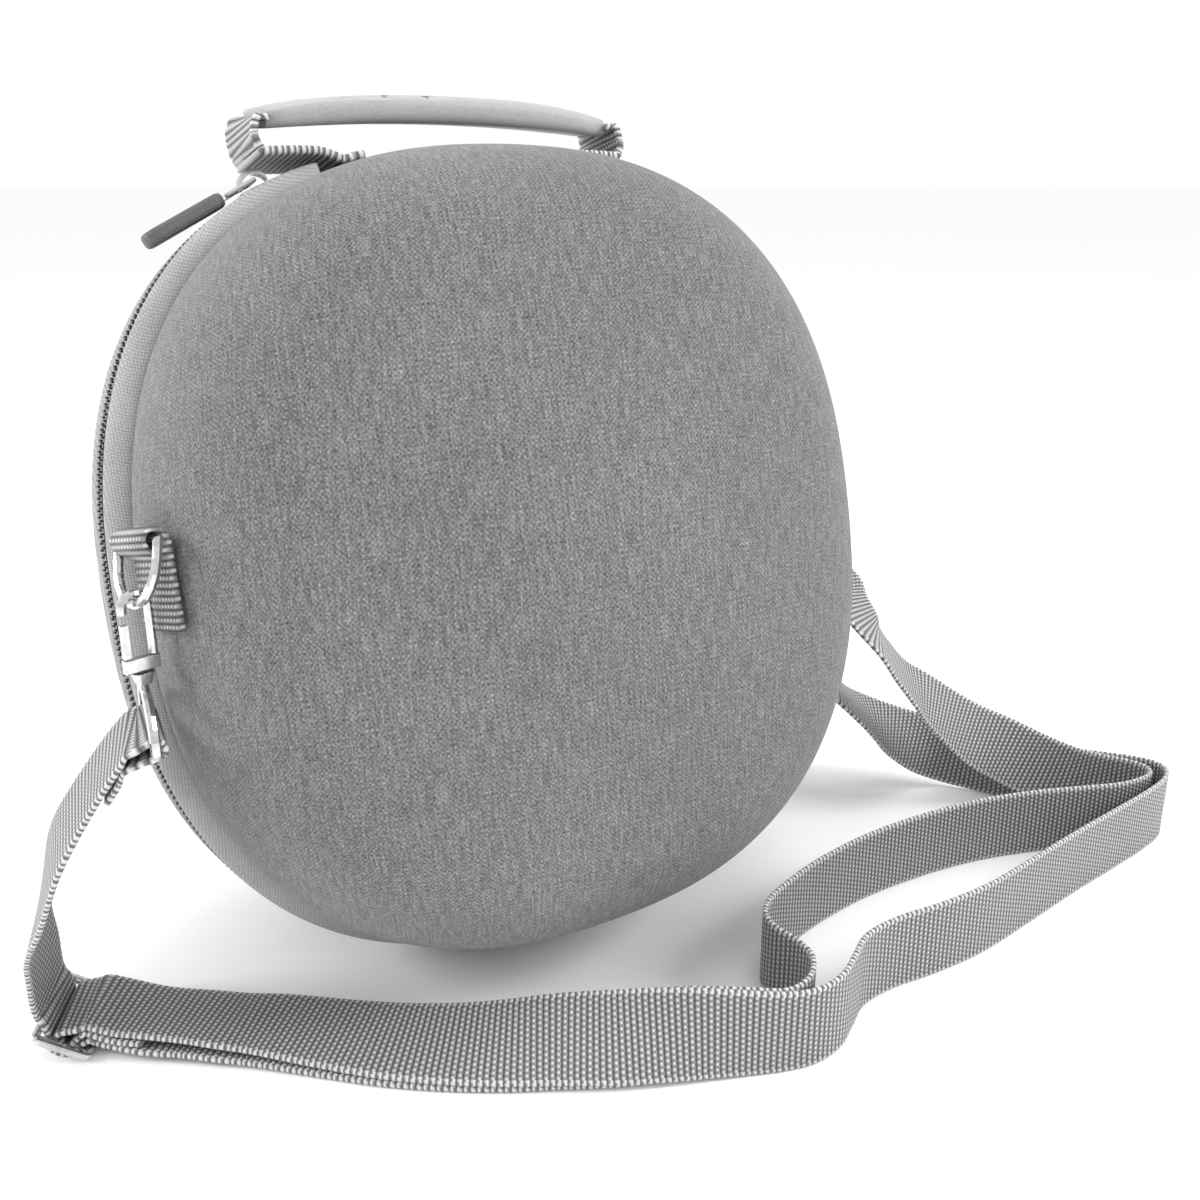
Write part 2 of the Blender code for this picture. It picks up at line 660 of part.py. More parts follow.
def glide_frame():
    """X along the strap's run, Y along the bars, Z out of the adjuster's upper face."""
    turn, tilt = math.radians(GLIDE_BARS_TURN), math.radians(GLIDE_TILT)
    bars = Vector((math.cos(turn), math.sin(turn), 0))
    run = Vector((bars.y, -bars.x, 0)) * math.cos(tilt) - Vector((0, 0, math.sin(tilt)))
    height = (GLIDE_PITCH + GLIDE_BAR) * math.sin(tilt) + GLIDE_BAR * math.cos(tilt)
    origin = Vector((GLIDE_SPOT[0] * MM, GLIDE_SPOT[1] * MM, height))
    return Matrix.Translation(origin) @ Matrix((run, bars, run.cross(bars))).transposed().to_4x4()


GLIDE = glide_frame()


def strap_adjuster():
    """Three-bar slide: a flat frame with a slot on each side of its middle bar."""
    half = GLIDE_PITCH + GLIDE_BAR
    corner = 1.5 * GLIDE_BAR
    frame = []
    for cx, cy, start in ((half - corner, GLIDE_HALF - corner, 0), (-half + corner, GLIDE_HALF - corner, 90),
                          (-half + corner, -GLIDE_HALF + corner, 180), (half - corner, -GLIDE_HALF + corner, 270)):
        frame += list(arc((cx, cy), corner, start, start + 90, 3))
    slot_end = GLIDE_HALF - 2 * GLIDE_BAR
    slots = []
    for side in (-1, 1):
        near, far = side * GLIDE_BAR, side * (GLIDE_PITCH - GLIDE_BAR)
        slots.append([(near, -slot_end), (far, -slot_end), (far, slot_end), (near, slot_end)])
    plate("strap_adjuster", [frame] + slots, GLIDE_BAR, "chrome", TABLE, GLIDE, bevel=0.62 * GLIDE_BAR)


strap_adjuster()


# Shoulder strap: one webbing in stretches that meet end to end. Free stretches keep chosen
# places on the table, in millimetres. Upright tables give x, y, height and the lean of the
# width from upright towards the front; hanging tables give x, y, height, turn and rise of the width.

STRAP_FRONT = [
    (-128.4, -16.4, 6.6, -92), (-121.7, -21.4, 5.8, -94), (-112.5, -28.3, 5.4, -93),
    (-104.0, -35.6, 5.2, -91), (-95.1, -43.0, 5.2, -87), (-81.6, -56.3, 5.4, -81), (-69.0, -69.0, 6.0, -75),
    (-57.0, -79.2, 6.8, -70), (-44.6, -88.5, 8.2, -63), (-31.6, -97.3, 9.6, -53), (-19.8, -106.0, 10.9, -42),
    (-9.7, -112.6, 11.9, -31), (-0.2, -118.7, 12.6, -20), (10.9, -125.4, 12.8, -9), (21.5, -130.9, 12.6, -2),
]
STRAP_BEND = [(31, -133.2, 12.6, 0), (41, -131.5, 12.6, 0), (50, -126.5, 12.6, 0), (60, -121, 12.6, 0),
              (74, -119.5, 12.6, 0)]
STRAP_LONG = [(91, -121, 12.6, 0), (112, -121, 12.6, 0), (138, -117.5, 12.6, 0), (165, -113.5, 12.6, 0),
              (190, -110.5, 12.6, 0), (212, -107.5, 12.6, 0)]
STRAP_OUTER_TURN = [(225, -104.5, 12.6, 0), (232, -100, 12.6, 0), (233.5, -94, 12.6, 0), (230, -86.5, 12.6, 0)]
STRAP_LOWER = [(221, -75.5, 12.6, 0), (211, -63.5, 12.6, 0), (202, -51.5, 12.6, -3), (196.5, -40, 12.8, -10),
               (190, -29, 14, -22), (180, -20.5, 18, -38), (167, -15, 26, -52)]
STRAP_UPPER = [(144.5, -29.5, 75, -60), (152, -33, 63, -58), (160, -35.5, 53, -54), (168.5, -38, 45, -48),
               (184, -46, 31, -36), (195.5, -54, 23.5, -24), (205.5, -63, 17.5, -12), (214, -72, 14, -4),
               (221, -80, 12.8, 0)]
STRAP_INNER_TURN = [(226, -88, 12.6, 0), (227.5, -94.5, 12.6, 0), (224, -99, 12.6, 0), (216, -100, 12.6, 0)]
STRAP_BACK = [(206, -98.5, 12.6, 0), (193, -93.5, 12.6, 0), (175, -86.5, 12.6, 0), (153, -80.5, 12.6, 0),
              (128, -77.5, 12.6, 0), (101, -77.5, 12.6, 0), (77, -81, 12.6, 0), (61, -85.5, 12.6, 0)]
STRAP_FOLD = [(49, -90, 12.6, 0), (42, -95.5, 12.6, 0), (39.5, -103, 12.6, 0), (40.5, -112, 12.6, 0),
              (39, -120.5, 12.6, 0), (32, -127.5, 12.6, 0)]
STRAP_DROP = [
    (-121.2, -41.1, 103.2, -97, 0), (-124.6, -39.5, 100.5, -97.5, 0), (-132.6, -35, 88.6, -97.5, -3), (-142.3, -29.5, 71.3, -98, -7),
    (-146.8, -20.5, 53.1, -103, -10), (-149.0, -11.5, 38, -112, -5), (-148.6, -7.2, 25, -116, 0),
]
RING_TO_UPPER = [
    (121.6, 43.5, 85.9, 83, 0),
    (125.5, 42.3, 87, 83, 0), (133, 39.5, 89.5, 72, 8), (139.5, 30, 91, 50, 16), (143, 14, 91.5, 30, 18),
    (142.5, -3, 90, 26, 12), (141, -17.5, 86.5, 36, 6),
]
LOWER_TO_RING = [
    (153, -13.5, 37, 66, 16), (144, -8, 47.5, 50, 4), (139.5, 4, 55.5, 36, -6), (138.5, 17, 61.5, 32, -8),
    (137, 29, 67, 42, -8), (132.5, 38, 72.5, 64, -6), (125.5, 42, 77.5, 82, -2),
    (121.3, 43.4, 79.6, 83, 0),
]
ADJUSTED = [                   # along and off the adjuster, as the strap goes through it
    (-9.2, 5.6), (-6.4, 2.9), (-4.0, -0.3), (-2.7, -3.3), (0, -4.3),
    (2.7, -3.3), (4.0, -0.3), (6.2, 2.9), (8.8, 3.1),
]
LOOPED = [(4.6, 6.7), (2.2, 4.9), (0, 3.1), (-1.7, 1.75), (-2.3, 0), (-1.7, -1.7), (0, -2.4), (1.6, -1.7),
          (2.4, 0.2), (3.3, 2.6), (5.0, 4.8)]
LAYER = 2.0 * MM               # between the middles of two layers of webbing
LOOP_LAYERS = 2.1              # layers under the top one at the adjuster
LOOP_ROWS = 2                  # rows of the front run that the sewn end reaches


def over_table(place_at, across, normal, layers=0):
    """The same place, lifted so that the webbing clears the table and the layers beneath it."""
    least = STRAP_WIDTH / 2 * abs(across.z) + STRAP_THICKNESS / 2 * abs(normal.z) + 0.1 * MM
    least += layers * (LAYER + 0.2 * MM) * abs(normal.z)
    return Vector((place_at.x, place_at.y, max(place_at.z, least)))


def upright(table, layers=0):
    """Rows (place, across, normal) of an upright table, over some layers of webbing."""
    rows = []
    for i, (x, y, z, lean) in enumerate(table):
        a, b = table[max(i - 1, 0)], table[min(i + 1, len(table) - 1)]
        way = Vector((b[0] - a[0], b[1] - a[1], 0)).normalized()
        front = Vector((way.y, -way.x, 0))
        if front.y > 0:
            front = -front
        lean = math.radians(lean)
        up = Vector((0, 0, 1))
        across = up * math.cos(lean) + front * math.sin(lean)
        normal = front * math.cos(lean) - up * math.sin(lean)
        rows.append((over_table(Vector((x, y, z)) * MM, across, normal, layers), across, normal))
    return rows


def beneath(rows, first_layers, last_layers):
    """Rows below or behind others, with the number of layers easing between two values."""
    made = []
    for i, (spot, across, normal) in enumerate(rows):
        ease = (1 - i / (len(rows) - 1)) ** 2
        layers = last_layers + (first_layers - last_layers) * ease
        forward = Vector((-across.x, -across.y, 0)) * LAYER * layers * 0.4
        made.append((over_table(spot - normal * LAYER * layers + forward, across, normal), across))
    return made


def hanging(table):
    rows = []
    for x, y, z, turn, rise in table:
        turn, rise = math.radians(turn), math.radians(rise)
        across = Vector((math.cos(turn) * math.cos(rise), math.sin(turn) * math.cos(rise), math.sin(rise)))
        rows.append((Vector((x, y, z)) * MM, across))
    return rows


def in_glide(table):
    share = GLIDE_PITCH / (7.0 * MM)
    return [(GLIDE @ (Vector((run * share, 0, off)) * MM), GLIDE.to_3x3() @ Vector((0, 1, 0))) for run, off in table]


def strap_rows():
    """All rows of the strap in order, each with its stretch's name, as (name, place, across)."""
    rows = []
    left, left_bar = STRAP_BARS["left"]
    right, right_bar = STRAP_BARS["right"]
    wrap = STRAP_RING_WIRE + GAP + STRAP_THICKNESS / 2

    def add(name, pairs):
        rows.extend((name, pair[0], pair[1]) for pair in pairs)

    def round_bar(spot, bar, side, turns):
        out = Vector((0, 0, 1)).cross(bar)
        out = out if out.x * side > 0 else -out
        for angle in turns:
            a = math.radians(angle)
            yield spot + (out * math.cos(a) + Vector((0, 0, math.sin(a)))) * wrap, bar

    # Sewn end, lying under the strap where it leaves the left ring.
    sewn = [(left + Vector(spot) * MM, left_bar) for spot in ((-10.5, 5.3, -11.8), (-6.2, 2.8, -5.3), (-2.4, 0.8, -3.1))]
    add("strap_drop", sewn)
    add("strap_drop", round_bar(left, left_bar, -1, (262, 218, 174, 130, 92)))
    add("strap_drop", hanging(STRAP_DROP))
    add("strap_in_adjuster", in_glide(ADJUSTED))
    front = upright(STRAP_FRONT, 1)
    add("strap_rear_run", beneath(front, LOOP_LAYERS, 1.0)[1:])
    add("strap_fold", upright(STRAP_FOLD[::-1]))
    add("strap_back_run", upright(STRAP_BACK[::-1]))
    add("strap_inner_turn", upright(STRAP_INNER_TURN[::-1]))
    add("strap_upper_run", upright(STRAP_UPPER[::-1]))
    add("strap_ring_loop", hanging(RING_TO_UPPER[::-1]))
    add("strap_ring_loop", round_bar(right, right_bar, 1, (80, 125, 170, 215, 260)))
    add("strap_ring_loop", hanging(LOWER_TO_RING[::-1]))
    add("strap_lower_run", upright(STRAP_LOWER[::-1]))
    add("strap_outer_turn", upright(STRAP_OUTER_TURN[::-1]))
    add("strap_long_run", upright(STRAP_LONG[::-1]))
    add("strap_bend", upright(STRAP_BEND[::-1]))
    add("strap_front_run", front[::-1])
    add("strap_end", in_glide(LOOPED))
    add("strap_end", beneath(front[:LOOP_ROWS], 1.0, 1.0))
    return rows


def strap_path(steps=2):
    """Samples of the whole strap: each one's stretch name, and its (middle, across, along)."""
    rows = strap_rows()
    signed = [rows[0][2].normalized()]
    for name, place_at, across in rows[1:]:
        across = across.normalized()
        signed.append(across if across.dot(signed[-1]) > 0 else -across)
    middle = smooth_path([tuple(row[1]) for row in rows], steps)
    sides = smooth_path([tuple(v) for v in signed], steps)
    names = [rows[min(i // steps, len(rows) - 1)][0] for i in range(len(middle))]
    return names, sections_along(list(zip(middle, sides)))


def shoulder_strap():
    names, sections = strap_path()
    for name in dict.fromkeys(names):
        first = names.index(name)
        last = min(first + names.count(name), len(names) - 1)
        stretch = sections[first:last + 1]
        for end, way in ((0, 1), (-1, -1)):
            middle, across, along = stretch[end]
            stretch[end] = (middle + along * way * GAP / 2, across, along)
        if name in ("strap_rear_run", "strap_upper_run"):      # split as the run that lies along it
            stretch.reverse()
        place(name, ribbon_mesh(name, stretch, STRAP_WIDTH, STRAP_THICKNESS), "webbing", TABLE)


shoulder_strap()


def centre_on_origin():
    """Move the table so that the whole object is centred over the origin."""
    bpy.context.view_layer.update()
    graph = bpy.context.evaluated_depsgraph_get()
    spots = []
    for obj in PARTS.objects:
        if obj.type == "EMPTY":
            continue
        final = obj.evaluated_get(graph)
        mesh = final.to_mesh()
        spots += [final.matrix_world @ vert.co for vert in mesh.vertices]
        final.to_mesh_clear()
    xs, ys = [p.x for p in spots], [p.y for p in spots]
    TABLE.location = (-(min(xs) + max(xs)) / 2, -(min(ys) + max(ys)) / 2, 0)


centre_on_origin()
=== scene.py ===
"""Looks of a rounded hard-shell headset case with a zip, a moulded grip and a webbing strap."""

import math

import bmesh
import bpy
from mathutils import Matrix, Vector


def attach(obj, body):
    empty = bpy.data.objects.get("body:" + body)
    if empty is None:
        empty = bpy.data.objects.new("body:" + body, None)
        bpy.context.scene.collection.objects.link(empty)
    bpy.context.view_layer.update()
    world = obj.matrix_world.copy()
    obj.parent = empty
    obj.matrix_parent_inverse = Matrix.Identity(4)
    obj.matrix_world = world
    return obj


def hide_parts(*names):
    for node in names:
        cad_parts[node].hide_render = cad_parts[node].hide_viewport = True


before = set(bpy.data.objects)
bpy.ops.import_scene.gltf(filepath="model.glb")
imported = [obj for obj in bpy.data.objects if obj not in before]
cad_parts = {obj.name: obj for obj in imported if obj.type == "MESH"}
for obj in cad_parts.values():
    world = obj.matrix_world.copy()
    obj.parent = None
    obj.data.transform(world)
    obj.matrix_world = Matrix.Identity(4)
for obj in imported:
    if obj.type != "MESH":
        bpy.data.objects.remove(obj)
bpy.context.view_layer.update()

MM = 0.001

# Where the case stands, in metres and degrees

CENTRE = Vector((-0.03906, 0.02297, 0.12274))
LEAN = math.radians(13.146)
CASE = Matrix.Translation(CENTRE) @ Matrix.Rotation(-LEAN, 4, "X")
TO_CASE = CASE.inverted()

# Photograph's camera, about the middle of the case

CAMERA_TURN = math.radians(31.9)
CAMERA_RISE = math.radians(18.6)
CAMERA_DISTANCE = 0.3999
CAMERA_FOCUS = 1234.9          # focal length in pixels of a 1200 pixel picture
CASE_IN_PICTURE = (489.33, 547.0)

# Webbing and zip

STRAP_WIDTH = 25 * MM
STRAP_THICKNESS = 1.5 * MM
HANDLE_WEB = 2.2 * MM
RIB_PITCH = 1.75 * MM
CELL_PITCH = 1.6 * MM
THREAD_PITCH = 0.8 * MM
TOOTH_PITCH = 1.5 * MM

# Middle line of the strap and of the handle's two webbing loops, as in the part: place in
# millimetres, and the turn and rise of the webbing's width in degrees

STRAP_ROUTE = [
    (-167.8, -13.3, 90.4, -97, 0), (-163.5, -15.8, 96.9, -97, 0), (-159.7, -17.8, 99.1, -97, 0),
    (-157.0, -18.6, 99.9, -97, 0), (-155.5, -18.8, 100.7, -97, 0), (-155.0, -18.9, 102.4, -97, 0),
    (-155.8, -18.8, 104.0, -97, 0), (-157.2, -18.6, 104.5, -97, 0), (-160.3, -18.1, 103.2, -97, 0),
    (-163.7, -16.5, 100.5, -98, 0), (-171.7, -12.0, 88.6, -98, -3), (-181.4, -6.5, 71.3, -98, -7),
    (-185.9, 2.5, 53.1, -103, -10), (-188.1, 11.5, 38.0, -112, -5), (-187.7, 15.8, 25.0, -116, 0),
    (-187.3, 17.5, 14.6, -116, -0), (-185.9, 16.8, 10.8, -116, -0), (-185.2, 16.4, 6.8, -116, -0),
    (-185.3, 16.5, 3.5, -116, -0), (-183.3, 15.5, 1.2, -116, -0), (-180.6, 14.2, 0.8, -116, -0),
    (-178.2, 13.0, 2.8, -116, -0), (-175.0, 11.5, 4.6, -116, -0), (-172.6, 10.3, 3.5, -116, -0),
    (-161.9, 0.1, 1.9, -127, 4), (-152.6, -6.6, 1.8, -129, 3), (-144.0, -13.7, 1.8, -130, 1),
    (-134.9, -20.8, 2.1, -133, -3), (-121.1, -33.8, 2.8, -135, -9), (-108.3, -46.3, 4.1, -133, -15),
    (-96.1, -56.3, 5.1, -129, -20), (-83.5, -65.3, 6.4, -126, -27), (-70.3, -73.8, 8.2, -125, -37),
    (-58.3, -82.2, 9.9, -125, -48), (-48.0, -88.5, 11.3, -123, -59), (-38.4, -94.3, 12.2, -122, -70),
    (-27.2, -100.8, 12.6, -119, -81), (-16.7, -106.2, 12.6, -117, -88), (-7.1, -104.5, 12.6, -180, -90),
    (-0.1, -97.5, 12.6, -180, -90), (1.4, -89.0, 12.6, -180, -90), (0.4, -80.0, 12.6, -180, -90),
    (2.9, -72.5, 12.6, -180, -90), (9.9, -67.0, 12.6, -180, -90), (21.9, -62.5, 12.6, -180, -90),
    (37.9, -58.0, 12.6, -180, -90), (61.9, -54.5, 12.6, -180, -90), (88.9, -54.5, 12.6, -180, -90),
    (113.9, -57.5, 12.6, -180, -90), (135.9, -63.5, 12.6, -180, -90), (153.9, -70.5, 12.6, -180, -90),
    (166.9, -75.5, 12.6, -180, -90), (176.9, -77.0, 12.6, -180, -90), (184.9, -76.0, 12.6, -180, -90),
    (188.4, -71.5, 12.6, -180, -90), (186.9, -65.0, 12.6, -180, -90), (181.9, -57.0, 12.8, -180, -90),
    (174.9, -49.0, 14.0, -138, -86), (166.4, -40.0, 17.5, -134, -78), (156.4, -31.0, 23.5, -128, -66),
    (144.9, -23.0, 31.0, -121, -54), (129.4, -15.0, 45.0, -114, -42), (120.9, -12.5, 53.0, -107, -36),
    (112.9, -10.0, 63.0, -111, -32), (105.4, -6.5, 75.0, -115, -30), (101.9, 5.5, 86.5, -144, -6),
    (103.4, 20.0, 90.0, -154, -12), (103.9, 37.0, 91.5, -150, -18), (100.4, 53.0, 91.0, -130, -16),
    (93.9, 62.5, 89.5, -108, -8), (86.4, 65.3, 87.0, -97, -0), (82.5, 66.5, 85.9, -97, -0),
    (81.3, 66.7, 85.1, -97, -0), (79.5, 67.0, 84.7, -97, -0), (78.6, 67.1, 83.2, -97, -0),
    (79.0, 67.0, 81.4, -97, -0), (80.5, 66.8, 80.5, -97, -0), (82.2, 66.4, 79.6, -97, -0),
    (86.4, 65.0, 77.5, -98, 2), (93.4, 61.0, 72.5, -116, 6), (97.9, 52.0, 67.0, -138, 8),
    (99.4, 40.0, 61.5, -148, 8), (100.4, 27.0, 55.5, -144, 6), (104.9, 15.0, 47.5, -130, -4),
    (113.9, 9.5, 37.0, -114, -16), (127.9, 8.0, 26.0, -113, -38), (140.9, 2.5, 18.0, -121, -52),
    (150.9, -6.0, 14.0, -140, -68), (157.4, -17.0, 12.8, -152, -80), (162.9, -28.5, 12.6, -148, -87),
    (171.9, -40.5, 12.6, -180, -90), (181.9, -52.5, 12.6, -180, -90), (190.9, -63.5, 12.6, -180, -90),
    (194.4, -71.0, 12.6, -180, -90), (192.9, -77.0, 12.6, -180, -90), (185.9, -81.5, 12.6, -180, -90),
    (172.9, -84.5, 12.6, -180, -90), (150.9, -87.5, 12.6, -180, -90), (125.9, -90.5, 12.6, -180, -90),
    (98.9, -94.5, 12.6, -180, -90), (72.9, -98.0, 12.6, -180, -90), (51.9, -98.0, 12.6, -180, -90),
    (34.9, -96.5, 12.6, -180, -90), (20.9, -98.0, 12.6, -180, -90), (10.9, -103.5, 12.6, -180, -90),
    (1.9, -108.5, 12.6, -180, -90), (-8.1, -110.2, 12.6, -180, -90), (-17.6, -107.9, 12.7, -117, -88),
    (-28.2, -102.4, 12.9, -119, -81), (-39.3, -95.7, 12.9, -122, -70), (-48.8, -89.6, 12.3, -123, -59),
    (-58.9, -83.0, 11.4, -125, -48), (-70.7, -74.3, 10.0, -125, -37), (-83.7, -65.5, 8.4, -126, -27),
    (-96.1, -56.2, 7.1, -129, -20), (-108.1, -46.0, 6.2, -133, -15), (-120.7, -33.3, 5.4, -135, -9),
    (-134.2, -20.0, 5.2, -133, -3), (-143.1, -12.6, 5.2, -130, 1), (-151.6, -5.3, 5.4, -129, 3),
    (-160.8, 1.6, 5.8, -127, 4), (-167.5, 6.6, 6.6, -127, 2), (-174.8, 11.4, 8.8, -116, -0),
    (-177.6, 12.8, 8.3, -116, -0), (-180.3, 14.1, 7.8, -116, -0), (-182.3, 15.0, 7.5, -116, -0),
    (-183.6, 15.6, 6.2, -116, -0), (-183.7, 15.7, 4.4, -116, -0), (-182.5, 15.2, 2.9, -116, -0),
    (-180.9, 14.3, 2.8, -116, -0), (-179.4, 13.6, 4.1, -116, -0), (-177.6, 12.8, 5.8, -116, -0),
    (-175.3, 11.6, 6.9, -116, -0), (-168.0, 5.9, 4.6, -127, 2), (-161.3, 0.8, 3.8, -127, 4),
]
HANDLE_ROUTE_LEFT = [
    (-96.6, 53.1, 251.7, 90, 2), (-97.3, 53.0, 251.4, 90, 1), (-98.0, 52.9, 250.9, 90, -0),
    (-98.6, 52.7, 250.0, 90, -2), (-99.1, 52.4, 248.9, 90, -3), (-99.4, 52.1, 247.6, 90, -4),
    (-99.5, 51.8, 246.1, 90, -5), (-99.4, 51.5, 244.7, 90, -6), (-99.1, 51.1, 243.4, 90, -8),
    (-98.6, 50.9, 242.2, 90, -9), (-98.0, 50.7, 241.3, 90, -10), (-98.2, 50.6, 240.8, 90, -11),
    (-96.6, 50.5, 240.6, 90, -12), (-89.4, 50.5, 240.7, 90, -13), (-81.5, 50.5, 240.6, 90, -13),
    (-77.5, 50.2, 239.5, 90, -13), (-74.9, 50.0, 238.5, 90, -13), (-73.0, 50.0, 238.6, 90, -13),
    (-71.6, 50.2, 239.1, 90, -13), (-69.9, 50.2, 239.4, 90, -13), (-68.3, 50.3, 239.7, 90, -13),
]
HANDLE_ROUTE_RIGHT = [
    (18.4, 53.1, 251.7, 90, 2), (19.2, 53.0, 251.4, 90, 1), (19.9, 52.9, 250.9, 90, -0),
    (20.5, 52.7, 250.0, 90, -2), (21.0, 52.4, 248.9, 90, -3), (21.2, 52.1, 247.6, 90, -4),
    (21.3, 51.8, 246.1, 90, -5), (21.2, 51.5, 244.7, 90, -6), (21.0, 51.1, 243.4, 90, -8),
    (20.5, 50.9, 242.2, 90, -9), (19.9, 50.7, 241.3, 90, -10), (20.0, 50.6, 240.8, 90, -11),
    (18.4, 50.5, 240.6, 90, -12), (11.2, 50.5, 240.7, 90, -13), (3.4, 50.5, 240.6, 90, -13),
    (-0.7, 50.2, 239.5, 90, -13), (-3.2, 50.0, 238.5, 90, -13), (-5.1, 50.0, 238.6, 90, -13),
    (-6.5, 50.2, 239.1, 90, -13), (-8.2, 50.2, 239.4, 90, -13), (-9.8, 50.3, 239.7, 90, -13),
]


def point_at(row):
    """(middle, unit across) of a route's row."""
    x, y, z, turn, rise = row
    turn, rise = math.radians(turn), math.radians(rise)
    across = Vector((math.cos(turn) * math.cos(rise), math.sin(turn) * math.cos(rise), math.sin(rise)))
    return Vector((x, y, z)) * MM, across


def smooth_path(points, steps):
    """Catmull-Rom samples through points, with steps between neighbours."""
    points = [points[0] * 2 - points[1]] + points + [points[-1] * 2 - points[-2]]
    path = []
    for a, b, c, d in zip(points, points[1:], points[2:], points[3:]):
        for i in range(steps):
            t = i / steps
            path.append(0.5 * (2 * b + (c - a) * t + (2 * a - 5 * b + 4 * c - d) * t * t
                               + (3 * b - a - 3 * c + d) * t * t * t))
    path.append(points[-2])
    return path


def linear(code):
    """Linear colour of an sRGB hex code."""
    parts = [int(code[i:i + 2], 16) / 255 for i in (1, 3, 5)]
    return [c / 12.92 if c <= 0.04045 else ((c + 0.055) / 1.055) ** 2.4 for c in parts] + [1.0]


def add(tree, kind, links=(), **settings):
    """A node with its settings; links join (socket name or number) to another node's output."""
    node = tree.nodes.new(kind)
    for name, value in settings.items():
        setattr(node, name, value)
    for socket, source in links:
        if isinstance(source, bpy.types.NodeSocket):
            tree.links.new(source, node.inputs[socket])
        else:
            node.inputs[socket].default_value = source
    return node


def new_material(name, roughness, metallic=0.0, sheen=0.0, code="#808080"):
    """(material, tree, shader) with the plain values set on the shader itself."""
    material = bpy.data.materials.new(name)
    material.use_nodes = True
    tree = material.node_tree
    shader = tree.nodes["Principled BSDF"]
    shader.inputs["Base Color"].default_value = linear(code)
    shader.inputs["Roughness"].default_value = roughness
    shader.inputs["Metallic"].default_value = metallic
    if sheen:
        shader.inputs["Sheen Weight"].default_value = sheen
        shader.inputs["Sheen Roughness"].default_value = 0.5
    return material, tree, shader


def ramp(tree, factor, stops):
    """Colour ramp over a factor, from (place, hex code) stops."""
    node = add(tree, "ShaderNodeValToRGB", [("Fac", factor)])
    while len(node.color_ramp.elements) < len(stops):
        node.color_ramp.elements.new(0.5)
    for element, (place, code) in zip(node.color_ramp.elements, stops):
        element.position = place
        element.color = linear(code)
    return node.outputs["Color"]


def calc(tree, operation, a, b=0.0):
    return add(tree, "ShaderNodeMath", [(0, a), (1, b)], operation=operation).outputs[0]


def bump(tree, shader, height, distance, strength=1.0):
    node = add(tree, "ShaderNodeBump", [("Height", height), ("Distance", distance), ("Strength", strength)])
    tree.links.new(node.outputs["Normal"], shader.inputs["Normal"])


def wave(tree, value, pitch, shift=0.0):
    """0 to 1 wave over a length in metres."""
    turned = calc(tree, "MULTIPLY_ADD", value, 2 * math.pi / pitch)
    turned.node.inputs[2].default_value = shift
    return calc(tree, "MULTIPLY_ADD", calc(tree, "SINE", turned), 0.5)


def plain_weave(tree, along, across, pitch):
    """Height of a plain weave of two lengths in metres: threads pass over and under in turn."""
    u = calc(tree, "SINE", calc(tree, "MULTIPLY", along, math.pi / pitch))
    v = calc(tree, "SINE", calc(tree, "MULTIPLY", across, math.pi / pitch))
    return calc(tree, "MULTIPLY_ADD", calc(tree, "MULTIPLY", u, v), 0.5)


def threads(tree, vector, along_scale, across_scale, seed):
    """Noise drawn out along threads, for lighter and darker yarns."""
    mapping = add(tree, "ShaderNodeMapping", [("Vector", vector), ("Scale", (along_scale, across_scale, 1.0)),
                                              ("Location", (seed, seed * 0.7, 0.0))])
    noise = add(tree, "ShaderNodeTexNoise", [("Vector", mapping.outputs[0]), ("Scale", 1.0), ("Detail", 2.0),
                                             ("Roughness", 0.6)])
    return noise.outputs["Fac"]


def heather_weave():
    """Polyester plain weave of mixed light and dark yarns, laminated on foam: dry, mottled, slubbed."""
    material, tree, shader = new_material("heather_polyester_weave", 0.9, sheen=0.12)
    uv = add(tree, "ShaderNodeUVMap", uv_map="cloth").outputs["UV"]
    lengths = add(tree, "ShaderNodeSeparateXYZ", [("Vector", uv)])
    weave = plain_weave(tree, lengths.outputs["X"], lengths.outputs["Y"], THREAD_PITCH)
    warp = threads(tree, uv, 1 / (0.8 * MM), 1 / (9 * MM), 3.1)
    weft = threads(tree, uv, 1 / (4 * MM), 1 / (0.8 * MM), 8.4)
    fleck = threads(tree, uv, 1 / (0.8 * MM), 1 / (0.8 * MM), 5.7)
    cloud = threads(tree, uv, 1 / (60 * MM), 1 / (60 * MM), 1.9)
    tone = calc(tree, "ADD", calc(tree, "MULTIPLY", warp, 0.30), calc(tree, "MULTIPLY", weft, 0.22))
    tone = calc(tree, "ADD", tone, calc(tree, "MULTIPLY", fleck, 0.46))
    tone = calc(tree, "ADD", tone, calc(tree, "MULTIPLY", weave, 0.10))
    tone = calc(tree, "ADD", tone, calc(tree, "MULTIPLY", cloud, 0.06))
    tone = calc(tree, "SUBTRACT", tone, 0.11)
    tree.links.new(ramp(tree, tone, [(0.28, "#363636"), (0.42, "#606060"), (0.51, "#7a7a7a"), (0.61, "#969696"),
                                     (0.76, "#c4c4c4")]), shader.inputs["Base Color"])
    bump(tree, shader, calc(tree, "ADD", calc(tree, "MULTIPLY", weave, 0.6), fleck), 0.25 * MM, 0.6)
    return material


def object_place(tree):
    """Object coordinates turned upright with the case."""
    place = add(tree, "ShaderNodeTexCoord").outputs["Object"]
    turned = add(tree, "ShaderNodeMapping", [("Vector", place), ("Rotation", (LEAN, 0.0, 0.0))], vector_type="TEXTURE")
    return turned.outputs[0]


